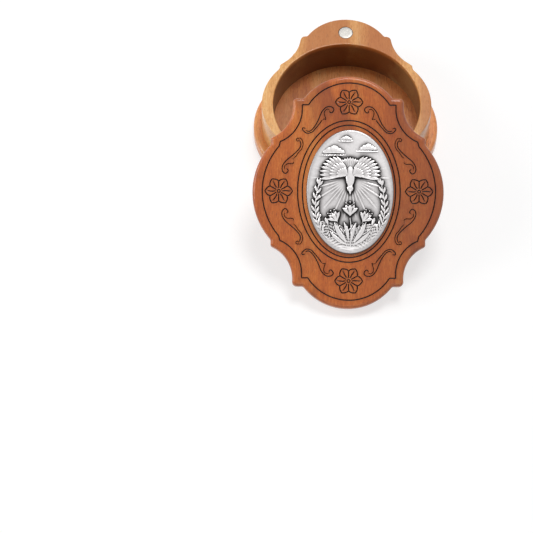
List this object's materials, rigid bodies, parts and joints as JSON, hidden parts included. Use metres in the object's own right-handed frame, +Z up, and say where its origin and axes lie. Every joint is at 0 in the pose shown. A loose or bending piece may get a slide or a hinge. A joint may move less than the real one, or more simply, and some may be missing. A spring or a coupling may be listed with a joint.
{
  "type": "rosary box",
  "caption": "Small lobed wooden keepsake box with a round hollow, magnet closure and a loose engraved lid with an oval silver medallion.",
  "frame": {"origin": "centre of the flat underside of the base board, on the surface that the box stands on", "axes": "+Z up out of the box's hollow, +Y along the box towards the rim's far magnet, away from the leaning lid, +X across the box to the right"},
  "size_m": [0.077, 0.1351, 0.0475],
  "materials": {
    "stained_wood": "satin varnish over a red-brown stain",
    "pale_wood": "satin varnish on pale wood",
    "magnet": "bright nickel plate",
    "medallion_silver": "antique silver plate, dark in the hollows"
  },
  "bodies": {
    "box": {"base_board": "stained_wood", "wall_ring": "pale_wood", "box_magnet_far": "magnet", "box_magnet_near": "magnet"},
    "lid": {"lid_board": "stained_wood", "medallion": "medallion_silver", "lid_magnet_far": "magnet", "lid_magnet_near": "magnet"}
  },
  "joints": [
    {"name": "lid_lift", "type": "slide", "parent": "box", "child": "lid", "axis": [0, 0, 1], "range_m": [0, 0.06]}
  ]
}
